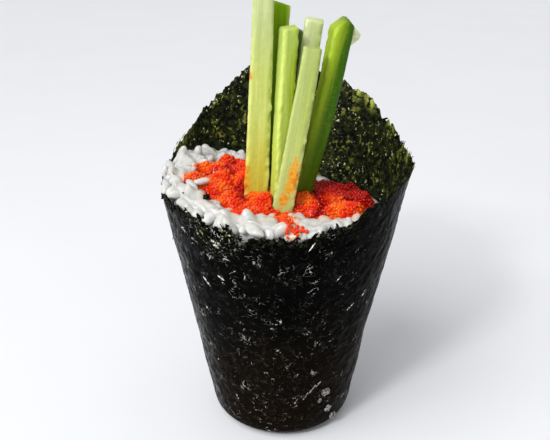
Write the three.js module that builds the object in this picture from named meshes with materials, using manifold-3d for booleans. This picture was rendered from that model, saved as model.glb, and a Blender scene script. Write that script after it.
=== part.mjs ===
// Temaki hand roll that stands on its closed, flat foot: one sheet of nori wound into a tapered cup
// with a tall collar at the back, packed with sushi rice, topped with a heap of fish roe, and a
// bunch of cucumber sticks standing in the middle.
//
// Frame, in millimetres: the origin is the centre of the flat foot and +Z is up. -Y is the front,
// where the nori's rim is lowest. Angles are in degrees, anticlockwise seen from above, from +X.

import * as THREE from 'three';
import { mergeVertices } from 'three/addons/utils/BufferGeometryUtils.js';
import Module from 'manifold-3d';

const wasm = await Module();
wasm.setup();

// ---------------------------------------------------------------- driving dimensions

const FOOT_LINE_RADIUS = 21.0; // the wall's straight line carried down to the floor
const TAPER = 0.182; // radius gained per millimetre of height
const FOOT_ROUNDING = 5; // radius of the turn from wall to foot
const NORI_THICKNESS = 0.8; // a sheet with its blisters and creases
const OVERLAP_STEP = 0.5; // the outer end of the sheet lies this far proud of the turn below
const SEAM_ANGLE = 190; // where the outer end of the sheet meets the rim
const SEAM_SLANT = 34; // the seam drifts this far round towards the back on its way down
const GAP = 0.3; // clearance between neighbouring pieces

const COLUMNS = 60; // facets round the roll
const FOOT_STEPS = 3; // facets in the turn from foot to wall

// Height of the nori's rim: [angle, height].
const RIM = [
  [18, 86.2], [41, 94], [59, 97.8], [90, 105], [106, 102], [121, 94.8], [142, 87], [160, 81.6],
  [180, 77.6], [193, 76.4], [215, 77.6], [240, 76], [270, 74.7], [283, 74.4], [295, 76.8],
  [311, 81.2], [335, 84], [357, 85],
];

// Height of the rice where it meets the nori: [angle, height].
const RICE_EDGE = [
  [20, 65.5], [50, 65.5], [75, 68], [100, 71], [116, 74.5], [135, 77.5], [160, 80.5], [185, 79.8],
  [215, 78.6], [240, 77], [270, 75.8], [290, 75.5], [311, 73.5], [335, 69.5],
];
const RICE_MIDDLE = 70.5; // height of the rice under the roe, at the axis

// Soft dents in the wall: [angle, height, depth, reach round the wall, reach up the wall].
const DENTS = [
  [352, 32, 0.9, 20, 14], [204, 46, 0.7, 9, 22], [300, 52, 0.5, 14, 16], [246, 22, 0.6, 16, 12],
  [30, 58, 0.9, 26, 18], [95, 40, 1.0, 22, 22], [150, 26, 0.6, 20, 16], [325, 12, -0.6, 16, 8],
];

// Roe heaped round the sticks as rows of lumps, from outside to inside: [step in from the heap's
// outer edge, lump radius].
const ROE_ARC = { from: 146, to: 394, lumps: 11 };
const ROE_ROWS = [[5.5, 6], [12.5, 6.8], [19, 6]];
// Distance of the heap's outer edge from the axis: [angle, distance].
const ROE_REACH = [
  [0, 25.5], [20, 22.5], [43, 19], [95, 18], [146, 25], [175, 30], [200, 31.5], [235, 31],
  [270, 31.5], [300, 31.5], [321, 29.5],
];
// Height of the heap: [angle, height].
const ROE_TOP = [
  [0, 76.5], [20, 75], [43, 73], [95, 76], [146, 80.5], [190, 81.5], [225, 80.5], [270, 77.5],
  [296, 78], [330, 78],
];

const ROE_LEVEL = 77; // height at which the sticks' places are given
const STICK_SUNK = 20; // length of a stick below the roe's level
const STICK_CHAMFER = 0.6;
const SKIN_CROWN = 0.5; // the side with skin stands this far out

// Cucumber sticks: where the axis passes the roe's level, the tip, the section's width and depth at
// the roe's level and at the tip, its turn about the axis, the stick's sideways bow, how much higher
// the tip's right and back edges are than its left and front ones, and the side that has skin.
const STICKS = [
  { low: [-7.8, -9.3], tip: [-5.3, -6.4, 131], width: [6.7, 5.4], depth: [5.4, 4.8],
    turn: 2, bow: 0.2, slant: [0.4, 0.6], skin: 'none' },
  { low: [-5.0, -3.0], tip: [-0.8, 1.0, 127], width: [5.0, 5.1], depth: [4.2, 4.4],
    turn: 0, bow: 0.2, slant: [-0.9, -0.4], skin: 'front' },
  { low: [-1.1, -12.5], tip: [1.2, -6.0, 120.9], width: [4.9, 4.7], depth: [3.8, 3.8],
    turn: 26, bow: -0.2, slant: [0.2, 0.8], skin: 'none' },
  { low: [-1.4, 3.0], tip: [3.2, 4.4, 119.8], width: [4.4, 4.4], depth: [4.0, 4.0],
    turn: 4, bow: 0, slant: [-0.8, 0.2], skin: 'back' },
  { low: [1.9, -1.9], tip: [8.1, -0.2, 123.1], width: [4.9, 5.0], depth: [3.9, 4.0],
    turn: 0, bow: 0.1, slant: [0, 0.5], skin: 'none' },
  { low: [-0.2, -17.8], tip: [7.3, -10.6, 117.6], width: [5.6, 4.9], depth: [4.4, 4.2],
    turn: -4, bow: 0.3, slant: [0.1, 0.4], skin: 'none' },
  { low: [4.9, -7.7], tip: [15.0, -4.8, 121.6], width: [6.6, 6.9], depth: [5.0, 4.8],
    turn: 8, bow: 0.7, slant: [-1.8, 0.4], skin: 'right' },
];

// ---------------------------------------------------------------- curves and fields

const { clamp, lerp, degToRad, smoothstep, euclideanModulo } = THREE.MathUtils;

// A smooth function of the angle through [angle, value] points. It joins up after a full turn.
function roundCurve(points) {
  const knots = [...points].sort((a, b) => a[0] - b[0]);
  const n = knots.length;
  const knot = (i) => {
    const [angle, value] = knots[euclideanModulo(i, n)];
    return [angle + 360 * Math.floor(i / n), value];
  };
  const slope = (i) => (knot(i + 1)[1] - knot(i - 1)[1]) / (knot(i + 1)[0] - knot(i - 1)[0]);
  return (angle) => {
    const a = knots[0][0] + euclideanModulo(angle - knots[0][0], 360);
    let i = 0;
    while (knot(i + 1)[0] <= a) i++;
    const [a0, v0] = knot(i);
    const [a1, v1] = knot(i + 1);
    const span = a1 - a0;
    const t = (a - a0) / span;
    const t2 = t * t;
    const t3 = t2 * t;
    return (
      v0 * (2 * t3 - 3 * t2 + 1) + v1 * (3 * t2 - 2 * t3)
      + slope(i) * span * (t3 - 2 * t2 + t) + slope(i + 1) * span * (t3 - t2)
    );
  };
}

const rimHeight = roundCurve(RIM);
const riceEdgeHeight = roundCurve(RICE_EDGE);
const roeReach = roundCurve(ROE_REACH);
const roeTop = roundCurve(ROE_TOP);

const angleBetween = (a, b) => euclideanModulo(a - b + 180, 360) - 180;

// Depth of the dents at a point of the wall.
function dentDepth(angle, z) {
  let depth = 0;
  for (const [at, height, deep, round, up] of DENTS) {
    const distance = (angleBetween(angle, at) / round) ** 2 + ((z - height) / up) ** 2;
    depth += deep * Math.exp(-distance);
  }
  return depth;
}

// Outside radius of a single layer of nori.
function wallRadius(angle, z) {
  const aboveFoot = smoothstep(z, FOOT_ROUNDING, 2 * FOOT_ROUNDING);
  return FOOT_LINE_RADIUS + TAPER * z - dentDepth(angle, z) * aboveFoot;
}

// Extra radius of the outer turn: a full step at the seam that fades out over the turn.
function turnStep(angle, z) {
  const seam = SEAM_ANGLE - SEAM_SLANT * (1 - clamp(z / rimHeight(SEAM_ANGLE), 0, 1));
  return OVERLAP_STEP * (1 - euclideanModulo(angle - seam, 360) / 360);
}

// ---------------------------------------------------------------- geometry helpers

// A closed body about the Z axis. Each ring is a function of the angle that gives the ring's radius
// and height there, and the first and the last ring lie on the axis.
function ringBody(rings) {
  const geometry = new THREE.LatheGeometry(rings.map((_, row) => new THREE.Vector2(1, row)), COLUMNS);
  const position = geometry.getAttribute('position');
  for (let column = 0; column <= COLUMNS; column++) {
    const angle = (360 * (column % COLUMNS)) / COLUMNS;
    const a = degToRad(angle);
    rings.forEach((ring, row) => {
      const [radius, z] = ring(angle);
      position.setXYZ(column * rings.length + row, radius * Math.cos(a), radius * Math.sin(a), z);
    });
  }
  return geometry;
}

const axisPoint = (z) => () => [0, z];

// Rings from the flat foot round its edge and up the wall to a top of the given height, on a layer
// that lies the inset inside the wall's outside. The lift adds to the radius.
function wallRings(inset, top, rows, lift = () => 0) {
  const rings = [];
  const reach = FOOT_ROUNDING - inset;
  for (let i = 0; i < FOOT_STEPS; i++) {
    const turn = (Math.PI / 2) * (i / FOOT_STEPS);
    rings.push((angle) => {
      const corner = wallRadius(angle, FOOT_ROUNDING) + lift(angle, FOOT_ROUNDING) - FOOT_ROUNDING;
      return [corner + reach * Math.sin(turn), FOOT_ROUNDING - reach * Math.cos(turn)];
    });
  }
  for (let i = 0; i <= rows; i++) {
    rings.push((angle) => {
      const z = lerp(FOOT_ROUNDING, top(angle), i / rows);
      return [wallRadius(angle, z) + lift(angle, z) - inset, z];
    });
  }
  return rings;
}

function toSolid(geometry) {
  const bare = new THREE.BufferGeometry().setAttribute('position', geometry.getAttribute('position'));
  bare.setIndex(geometry.index);
  const merged = mergeVertices(bare, 1e-4);
  const mesh = new wasm.Mesh({
    numProp: 3,
    vertProperties: new Float32Array(merged.getAttribute('position').array),
    triVerts: new Uint32Array(merged.index.array),
  });
  return new wasm.Manifold(mesh);
}

function toGeometry(solid) {
  const { vertProperties, triVerts, numProp, numVert } = solid.getMesh();
  const positions = new Float32Array(numVert * 3);
  for (let i = 0; i < numVert; i++) {
    positions.set(vertProperties.subarray(i * numProp, i * numProp + 3), i * 3);
  }
  const geometry = new THREE.BufferGeometry();
  geometry.setAttribute('position', new THREE.BufferAttribute(positions, 3));
  geometry.setIndex(new THREE.BufferAttribute(new Uint32Array(triVerts), 1));
  return geometry;
}

const cutBy = (solid, cutters) => cutters.reduce((left, cutter) => left.subtract(cutter), solid);
const largestBody = (solid) => solid.decompose().sort((a, b) => b.volume() - a.volume())[0];

// ---------------------------------------------------------------- nori

function makeNori() {
  return ringBody([
    axisPoint(0),
    ...wallRings(0, rimHeight, 10, turnStep),
    ...wallRings(NORI_THICKNESS, rimHeight, 7).reverse(),
    axisPoint(NORI_THICKNESS),
  ]);
}

// ---------------------------------------------------------------- rice

// Height of the rice at a share of the way from the axis to the nori, with shallow lumps.
function riceHeight(share, angle) {
  const a = degToRad(angle);
  const lumps = 0.5 * Math.sin(7 * a + 9 * share) + 0.4 * Math.sin(11 * a - 13 * share + 1);
  const base = lerp(RICE_MIDDLE, riceEdgeHeight(angle), smoothstep(share, 0.25, 0.95));
  return base + lumps * smoothstep(share, 0.1, 0.5);
}

const RICE_TOP_SHARES = [0.88, 0.76, 0.64, 0.5, 0.34, 0.17];

// The packed rice. The lift raises its top.
function makeRice(lift = 0) {
  const inset = NORI_THICKNESS + GAP;
  const edge = (angle) => riceHeight(1, angle) + lift;
  const topRings = RICE_TOP_SHARES.map((share) => (angle) => [
    share * (wallRadius(angle, edge(angle)) - inset),
    riceHeight(share, angle) + lift,
  ]);
  return ringBody([
    axisPoint(inset),
    ...wallRings(inset, edge, 7),
    ...topRings,
    axisPoint(RICE_MIDDLE + lift),
  ]);
}

// ---------------------------------------------------------------- cucumber sticks

// The turn that brings a section's crowned side to the stick's skin side.
const SKIN_TURN = { none: 0, back: 0, front: 180, right: -90 };

// Section of a stick: a rectangle with cut corners whose +Y side is crowned where it has skin.
function stickSection(width, depth, crowned) {
  const [w, d, c] = [width / 2, depth / 2, STICK_CHAMFER];
  const shape = new THREE.Shape();
  shape.moveTo(-w + c, -d);
  shape.lineTo(w - c, -d);
  shape.lineTo(w, -d + c);
  shape.lineTo(w, d - c);
  shape.lineTo(w - c, d);
  shape.quadraticCurveTo(0, d + (crowned ? 2 * SKIN_CROWN : 0), -w + c, d);
  shape.lineTo(-w, d - c);
  shape.lineTo(-w, -d + c);
  shape.closePath();
  return shape;
}

// Tapers, bows and slants a straight prism whose section and height are 1.
function shapeStick(geometry, { width, depth, bow, slant }, sunk, above, grow) {
  const position = geometry.getAttribute('position');
  for (let i = 0; i < position.count; i++) {
    const [u, v, share] = [position.getX(i), position.getY(i), position.getZ(i)];
    const height = lerp(-sunk, above, share);
    const taper = Math.max(0, height / above);
    const x = u * (lerp(...width, taper) + 2 * grow) + bow * Math.sin(Math.PI * taper);
    const y = v * (lerp(...depth, taper) + 2 * grow);
    const tilt = share === 1 ? slant[0] * u + slant[1] * v : 0;
    position.setXYZ(i, x, y, height + tilt);
  }
}

function makeStick(stick, name, grow = 0) {
  const low = new THREE.Vector3(...stick.low, ROE_LEVEL);
  const along = new THREE.Vector3(...stick.tip).sub(low);
  const [width, depth] = [stick.width[0], stick.depth[0]];
  const section = stickSection(width, depth, stick.skin !== 'none');
  const geometry = new THREE.ExtrudeGeometry(section, {
    depth: 1, steps: 6, bevelEnabled: false, curveSegments: 4,
  });
  geometry.rotateZ(degToRad(SKIN_TURN[stick.skin]));
  geometry.scale(1 / width, 1 / depth, 1);
  shapeStick(geometry, stick, STICK_SUNK + grow, along.length() + grow, grow);
  const mesh = new THREE.Mesh(geometry);
  mesh.name = name;
  mesh.position.copy(low);
  mesh.quaternion.setFromUnitVectors(new THREE.Vector3(0, 0, 1), along.normalize());
  mesh.rotateZ(degToRad(stick.turn));
  mesh.updateMatrixWorld();
  return mesh;
}

// A stick grown by the gap, as a solid that leaves room for it in its neighbours.
function stickCutter(stick) {
  const mesh = makeStick(stick, 'cutter', GAP);
  return toSolid(mesh.geometry.clone().applyMatrix4(mesh.matrixWorld));
}

// ---------------------------------------------------------------- roe

// One rounded lump of the heap.
function roeLump(distance, angle, radius, top) {
  const lump = new THREE.SphereGeometry(radius, 9, 6);
  const a = degToRad(angle);
  lump.rotateZ(a);
  lump.translate(distance * Math.cos(a), distance * Math.sin(a), top - radius);
  return toSolid(lump);
}

function makeRoe(cutters) {
  const lumps = [];
  for (let i = 0; i < ROE_ARC.lumps; i++) {
    const angle = lerp(ROE_ARC.from, ROE_ARC.to, i / (ROE_ARC.lumps - 1));
    ROE_ROWS.forEach(([stepIn, radius], row) => {
      const wobble = Math.sin(2.4 * i + 1.7 * row);
      const drop = 1.2 - 0.6 * row + 0.5 * wobble;
      lumps.push(roeLump(roeReach(angle) - stepIn, angle + 6 * (row % 2), radius, roeTop(angle) - drop));
    });
  }
  return largestBody(cutBy(wasm.Manifold.union(lumps), cutters));
}

// ---------------------------------------------------------------- assembly

const FINISHES = {
  nori: { color: 0x11160f, roughness: 0.45, metalness: 0 },
  rice: { color: 0xf1efe6, roughness: 0.5, metalness: 0 },
  roe: { color: 0xe8421a, roughness: 0.25, metalness: 0 },
  cucumber: { color: 0xb9d06a, roughness: 0.4, metalness: 0 },
};
const finish = (name) => new THREE.MeshStandardMaterial(FINISHES[name]);

const roll = new THREE.Group();
roll.name = 'temaki_hand_roll';

function addPiece(name, geometry, finishName) {
  const mesh = new THREE.Mesh(geometry, finish(finishName));
  mesh.name = name;
  roll.add(mesh);
}

const stickCutters = STICKS.map(stickCutter);
const riceSolid = cutBy(toSolid(makeRice()), stickCutters);
const roeSolid = makeRoe([toSolid(makeRice(GAP)), ...stickCutters]);

addPiece('nori_wrap', makeNori(), 'nori');
addPiece('rice_filling', toGeometry(riceSolid), 'rice');
addPiece('roe_topping', toGeometry(roeSolid), 'roe');

STICKS.forEach((stick, i) => {
  const mesh = makeStick(stick, `cucumber_stick_${i + 1}`);
  mesh.material = finish('cucumber');
  roll.add(mesh);
});

export default roll;
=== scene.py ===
import math

import bmesh
import bpy
import numpy as np
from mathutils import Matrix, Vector, noise
from mathutils.bvhtree import BVHTree


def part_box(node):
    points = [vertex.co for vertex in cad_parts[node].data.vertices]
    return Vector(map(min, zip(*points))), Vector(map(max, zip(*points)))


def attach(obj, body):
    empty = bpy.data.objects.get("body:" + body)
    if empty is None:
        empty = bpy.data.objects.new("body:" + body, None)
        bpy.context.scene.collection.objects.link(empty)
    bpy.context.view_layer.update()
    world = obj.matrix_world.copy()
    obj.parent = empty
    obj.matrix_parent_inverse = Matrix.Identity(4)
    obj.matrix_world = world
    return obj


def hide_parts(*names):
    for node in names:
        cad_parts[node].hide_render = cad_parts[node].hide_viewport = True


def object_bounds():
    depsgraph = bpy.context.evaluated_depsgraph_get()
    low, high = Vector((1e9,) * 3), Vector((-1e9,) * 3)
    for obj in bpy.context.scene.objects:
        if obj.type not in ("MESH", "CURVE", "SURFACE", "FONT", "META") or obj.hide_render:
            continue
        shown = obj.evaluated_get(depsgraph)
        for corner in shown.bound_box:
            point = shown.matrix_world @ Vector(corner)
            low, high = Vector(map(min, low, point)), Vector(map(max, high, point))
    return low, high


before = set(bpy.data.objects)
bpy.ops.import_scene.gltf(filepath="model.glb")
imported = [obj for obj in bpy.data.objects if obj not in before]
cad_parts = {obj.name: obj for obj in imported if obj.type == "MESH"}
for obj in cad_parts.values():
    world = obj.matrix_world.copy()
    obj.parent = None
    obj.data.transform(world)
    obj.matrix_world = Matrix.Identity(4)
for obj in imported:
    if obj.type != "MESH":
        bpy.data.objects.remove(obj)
CAD_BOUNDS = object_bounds()

MM = 0.001
BODY = "root"
random = np.random.default_rng(7)


# -------- meshes

def add_object(name, data):
    thing = bpy.data.objects.new(name, data)
    bpy.context.scene.collection.objects.link(thing)
    return thing


def add_piece(name, points, faces, materials, replaced=(), face_materials=None, values=None):
    """Makes a piece of the roll from points in millimetres and faces with one number of corners."""
    mesh = bpy.data.meshes.new(name)
    mesh.from_pydata((np.asarray(points) * MM).tolist(), [], np.asarray(faces).tolist())
    for material in materials:
        mesh.materials.append(material)
    if face_materials is not None:
        mesh.polygons.foreach_set("material_index", np.asarray(face_materials, np.int32))
    for key, value in (values or {}).items():
        kind = "FLOAT" if np.ndim(value) == 1 else "FLOAT_VECTOR"
        field = "value" if kind == "FLOAT" else "vector"
        attribute = mesh.attributes.new(key, kind, "POINT")
        attribute.data.foreach_set(field, np.asarray(value, np.float32).ravel())
    mesh.shade_smooth()
    mesh.validate()
    piece = add_object(name, mesh)
    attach(piece, BODY)
    if replaced:
        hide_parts(*replaced)


def grid_faces(rows, columns):
    """Quads of a grid of points that is stored row by row."""
    corner = np.arange(rows * columns).reshape(rows, columns)[:-1, :-1]
    return np.stack([corner, corner + 1, corner + columns + 1, corner + columns], -1).reshape(-1, 4)


def grid_normals(points):
    """Unit normals of a grid of points with the shape (rows, columns, 3)."""
    normals = np.cross(np.gradient(points, axis=1), np.gradient(points, axis=0))
    return normals / np.maximum(np.linalg.norm(normals, axis=-1, keepdims=True), 1e-9)


def open_edges(faces):
    """Edges that only one of the quads has, in that quad's direction."""
    edges = np.concatenate([faces[:, [i, (i + 1) % 4]] for i in range(4)]).tolist()
    seen = {tuple(edge) for edge in edges}
    return np.array([(start, end) for start, end in edges if (end, start) not in seen])


def closed_sheet(outside, inside, faces):
    """Closes the space between two surfaces that share their quads; gives the counts of its sides."""
    outside, inside = outside.reshape(-1, 3), inside.reshape(-1, 3)
    count = len(outside)
    start, end = open_edges(faces).T
    edge = np.stack([end, start, start + count, end + count], -1)
    sides = [faces, faces[:, ::-1] + count, edge]
    return np.concatenate([outside, inside]), np.concatenate(sides), [len(side) for side in sides]


def ball(subdivisions):
    """Points and triangles of a ball with radius 1."""
    shape = bmesh.new()
    bmesh.ops.create_icosphere(shape, subdivisions=subdivisions, radius=1)
    points = np.array([v.co for v in shape.verts])
    faces = np.array([[v.index for v in f.verts] for f in shape.faces])
    shape.free()
    return points, faces


def copies(points, faces, matrices, places):
    """Copies of one shape, each turned and scaled by a 3 by 3 matrix and set in its place."""
    placed = np.einsum("nij,pj->npi", matrices, points) + places[:, None, :]
    shifted = faces[None] + (np.arange(len(places)) * len(points))[:, None, None]
    return placed.reshape(-1, 3), shifted.reshape(-1, faces.shape[1])


def noise_at(points, size, seed=0.0):
    """Smooth noise from -1 to 1 at the points, with bumps of about the given size."""
    shape = points.shape[:-1]
    where = (points.reshape(-1, 3) / size + 13.7 * seed).tolist()
    return np.array([noise.noise(p) for p in where]).reshape(shape)


def ridges_at(points, size, seed=0.0):
    """Noise from 0 to 1 with sharp crests, like creases in a dry leaf."""
    return 1 - np.abs(noise_at(points, size, seed)) * 2


def spread(points, spacing):
    """Picks points, in their order, that stay the spacing away from each other."""
    kept, cells = [], {}
    steps = (-1, 0, 1)
    keys = np.floor(points / spacing).astype(int).tolist()
    for index, ((i, j, k), p) in enumerate(zip(keys, points.tolist())):
        around = ((i + di, j + dj, k + dk) for di in steps for dj in steps for dk in steps)
        near = (q for cell in around for q in cells.get(cell, ()))
        if all(sum((a - b) ** 2 for a, b in zip(p, q)) > spacing ** 2 for q in near):
            cells.setdefault((i, j, k), []).append(p)
            kept.append(index)
    return np.array(kept)


def smoothstep(x, low, high):
    t = np.clip((x - low) / (high - low), 0, 1)
    return t * t * (3 - 2 * t)


def angle_between(a, b):
    return (np.asarray(a) - b + 180) % 360 - 180


def bell(angle, middle, width):
    """1 at the middle angle, falling away smoothly over about the width on either side."""
    return np.exp(-(angle_between(angle, middle) / width) ** 2)


def angle_of(points):
    return np.degrees(np.arctan2(points[..., 1], points[..., 0]))


def radius_of(points):
    return np.hypot(points[..., 0], points[..., 1])


def blend(table, x0, x1, y0, y1, u, v):
    """Values between four entries of a table: u leads from x0 to x1, and v from y0 to y1."""
    near = table[x0, y0] * (1 - u) + table[x1, y0] * u
    far = table[x0, y1] * (1 - u) + table[x1, y1] * u
    return near * (1 - v) + far * v


# -------- what the frame says

def node_points(name):
    return np.array([v.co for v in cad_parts[name].data.vertices]) / MM


def node_tree(name):
    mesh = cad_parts[name].data
    points = node_points(name)
    return BVHTree.FromPolygons(points.tolist(), [tuple(p.vertices) for p in mesh.polygons])


class Wall:
    """The nori's wall: its outside radius at an angle and height, and the height of its rim.

    Radii are cast from outside; above the rim they go on with the wall's mean taper.
    """

    ANGLES = np.arange(0, 360, 3.0)
    HEIGHTS = np.concatenate([[0.05, 0.4, 1, 1.8, 2.8, 4, 5.5, 7.5], np.arange(10, 112, 2.5)])
    SMOOTHING = 7.0  # degrees
    COLUMN = 6.0  # degrees between the points of the CAD rim
    TAPERED = slice(8, 19)  # rows that tell how the wall widens
    FAR = 90.0

    def __init__(self, node):
        tree = node_tree(node)
        radius = np.array([[self.measure(tree, a, z) for a in self.ANGLES] for z in self.HEIGHTS])
        steps = np.diff(self.HEIGHTS)
        taper = np.nanmean((np.diff(radius, axis=0) / steps[:, None])[self.TAPERED])
        for i in range(1, len(radius)):
            missing = np.isnan(radius[i])
            radius[i, missing] = radius[i - 1, missing] + taper * steps[i - 1]
        weight = np.exp(-0.5 * (angle_between(self.ANGLES, 0) / self.SMOOTHING) ** 2)
        weight = np.fft.rfft(weight / weight.sum())
        self.table = np.fft.irfft(np.fft.rfft(radius, axis=1) * weight, n=len(self.ANGLES), axis=1)
        self.find_rim(node_points(node))

    def measure(self, tree, angle, z):
        a = math.radians(angle)
        outwards = Vector((math.cos(a), math.sin(a), 0))
        hit = tree.ray_cast(outwards * self.FAR + Vector((0, 0, z)), -outwards, self.FAR)[0]
        if hit is None:
            return math.nan
        return math.hypot(hit.x, hit.y)

    def find_rim(self, points):
        count = round(360 / self.COLUMN)
        columns = np.round(angle_of(points) % 360 / self.COLUMN).astype(int) % count
        heights = [points[columns == c, 2].max() for c in range(count)]
        self.rim_heights = np.array([*heights, heights[0]])

    def rim(self, angle):
        column = np.asarray(angle) % 360 / self.COLUMN
        return np.interp(column, np.arange(len(self.rim_heights)), self.rim_heights)

    def radius(self, angle, z):
        angle, z = np.broadcast_arrays(np.asarray(angle, float) % 360, np.nan_to_num(z))
        column = angle / (self.ANGLES[1] - self.ANGLES[0])
        c0 = np.floor(column).astype(int) % len(self.ANGLES)
        c1 = (c0 + 1) % len(self.ANGLES)
        row = np.interp(z, self.HEIGHTS, np.arange(len(self.HEIGHTS)))
        r0 = np.clip(np.floor(row).astype(int), 0, len(self.HEIGHTS) - 2)
        return blend(self.table.T, c0, c1, r0, r0 + 1, column - np.floor(column), row - r0)


class Top:
    """Height of a node's top over a point of the plan, or nan where the node isn't."""

    HIGH = 150.0

    def __init__(self, node):
        self.tree = node_tree(node)

    def __call__(self, plan):
        heights = [self.drop(x, y) for x, y in plan.reshape(-1, 2)]
        return np.array(heights).reshape(plan.shape[:-1])

    def drop(self, x, y):
        hit = self.tree.ray_cast(Vector((x, y, self.HIGH)), Vector((0, 0, -1)))[0]
        return math.nan if hit is None else hit.z


WALL = Wall("nori_wrap")
RICE_TOP = Top("rice_filling")
ROE_TOP = Top("roe_topping")
ROE_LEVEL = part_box("roe_topping")[1].z / MM - 3.5


def on_wall(angle, z, radius):
    a = np.radians(angle)
    return np.stack(np.broadcast_arrays(radius * np.cos(a), radius * np.sin(a), z), -1)


# -------- material nodes

class Paint:
    """A material with one principled shader, and short calls that add nodes to it."""

    def __init__(self, name, **settings):
        self.material = bpy.data.materials.new(name)
        self.material.use_nodes = True
        self.tree = self.material.node_tree
        self.shader = self.tree.nodes["Principled BSDF"]
        for key, value in settings.items():
            self.set(self.shader, key.replace("_", " ").title().replace("Ior", "IOR"), value)

    def set(self, node, key, value):
        socket = node.inputs[key]
        if isinstance(value, bpy.types.NodeSocket):
            self.tree.links.new(value, socket)
        else:
            socket.default_value = value

    def add(self, kind, inputs=None, **settings):
        node = self.tree.nodes.new("ShaderNode" + kind)
        for key, value in settings.items():
            setattr(node, key, value)
        for key, value in (inputs or {}).items():
            self.set(node, key, value)
        return node

    def shade(self, key, value):
        self.set(self.shader, key, value)

    def place(self):
        return self.add("TexCoord").outputs["Object"]

    def attribute(self, name, output="Fac"):
        return self.add("Attribute", attribute_name=name).outputs[output]

    def noise(self, size, detail=3.0, roughness=0.5, distortion=0.0, vector=None, kind="FBM"):
        """Noise with features of the given size in millimetres."""
        inputs = {
            "Vector": vector or self.place(), "Scale": 1 / (size * MM), "Detail": detail,
            "Roughness": roughness, "Distortion": distortion,
        }
        return self.add("TexNoise", inputs, noise_type=kind).outputs["Fac"]

    def cell_edges(self, size, vector):
        """Distance to the nearest edge between cells of the given size in millimetres."""
        inputs = {"Vector": vector, "Scale": 1 / (size * MM)}
        return self.add("TexVoronoi", inputs, feature="DISTANCE_TO_EDGE").outputs["Distance"]

    def between(self, value, low, high, bottom=0.0, top=1.0):
        """Maps low to bottom and high to top, and holds them beyond."""
        inputs = {"Value": value, "From Min": low, "From Max": high, "To Min": bottom, "To Max": top}
        return self.add("MapRange", inputs, interpolation_type="SMOOTHSTEP").outputs["Result"]

    def math(self, operation, *values, kind="Math"):
        node = self.add(kind, operation=operation)
        for index, value in enumerate(values):
            self.set(node, index, value)
        return node.outputs[0]

    def vector(self, operation, *values):
        return self.math(operation, *values, kind="VectorMath")

    def times(self, a, b):
        return self.math("MULTIPLY", a, b)

    def mix(self, factor, a, b, blend_type="MIX"):
        node = self.add("Mix", data_type="RGBA", blend_type=blend_type)
        for index, value in ((0, factor), (6, a), (7, b)):
            if isinstance(value, tuple):
                value = (*value, 1.0)
            self.set(node, index, value)
        return node.outputs[2]

    def warped_place(self, amount):
        """Object coordinates pushed about by noise, so that cells lose their regular look."""
        push = self.add("TexNoise", {"Vector": self.place(), "Scale": 1 / (2.5 * MM), "Detail": 2.0})
        return self.vector("MULTIPLY_ADD", push.outputs["Color"], (amount * MM,) * 3, self.place())

    def bump(self, height, distance, strength=1.0, normal=None):
        inputs = {"Height": height, "Distance": distance * MM, "Strength": strength}
        if normal is not None:
            inputs["Normal"] = normal
        return self.add("Bump", inputs).outputs["Normal"]


# -------- nori

NORI_THICKNESS = 0.3
SHEET_TURN = 404.0  # the sheet's length, in degrees round the roll
SHEET_STEP = 0.5  # how much a full turn of the sheet drops towards the axis
SEAM_ANGLE = 190.0  # the sheet's outer end at the rim
SEAM_SLANT = 34.0
SEAM_HEIGHT = 76.0
SHEET_COLUMNS = 500
WALL_ROWS = 130
FOOT_ROWS = 14
# Angle, width in degrees and strength of the spots where the sheet is thin by its rim, with light
# shining through it painted yellow.
BACKLIT_THIN_SPOTS = ((43.5, 2.6, 1.0), (51, 1.5, 0.8), (3, 2.5, 0.6), (28, 1.5, 0.5), (150, 4, 0.3))


def wrinkles(points):
    """How far the nori stands out of its smooth wall: soft waves, creases and fine grain."""
    waves = 0.32 * noise_at(points, 17, 1) + 0.2 * noise_at(points, 8, 2)
    creases = 0.16 * ridges_at(points * (1, 1, 0.8), 5.5, 3) + 0.12 * ridges_at(points, 2.6, 4)
    return waves + creases + 0.06 * noise_at(points, 1.1, 5) - 0.16


def frayed_rim(angle, turn):
    """How far the torn edge of the sheet rises over its smooth rim, most at the front."""
    along = np.stack([angle * 0.6, turn * 0.02, np.zeros_like(angle)], -1)
    front = np.exp(-(angle_between(angle, 245) / 62) ** 4)
    fray = 1.3 * noise_at(along, 1.0, 6) + 1.4 * noise_at(along, 2.7, 7) + 0.9 * noise_at(along, 9.0, 8)
    teeth = 2.0 * smoothstep(ridges_at(along, 3.4, 18) + 0.5 * noise_at(along, 1.2, 19), 0.6, 1.1)
    notch = -1.8 * smoothstep(noise_at(along, 2.3, 9), 0.25, 0.55)
    return fray * (0.8 + 0.4 * front) + (teeth + notch) * (0.15 + 0.85 * front) - 0.2


def shine_at(angle, z):
    """How many glints the nori has: many where the light strikes under the left of the rim."""
    rim = 0.8 * bell(angle, 238, 17) * smoothstep(z, 60, 75)
    return np.clip(0.14 + 0.32 * bell(angle, 250, 46) + rim, 0, 1.4)


def crease_sheen_at(angle, z):
    """Where steep creases run down the nori, beside its seam, with a grey sheen painted on them."""
    patches = smoothstep(noise_at(on_wall(angle, z, 30.0), 9, 12), -0.2, 0.2)
    return bell(angle, 203 - 0.05 * (75 - z), 13) * (0.4 + 0.6 * patches)


def backlit_thin_at(angle):
    """Where the sheet is so thin by its rim that light shines through it, painted as yellow: most at the
    back right.
    """
    return sum(strength * bell(angle, at, width) for at, width, strength in BACKLIT_THIN_SPOTS)


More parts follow.
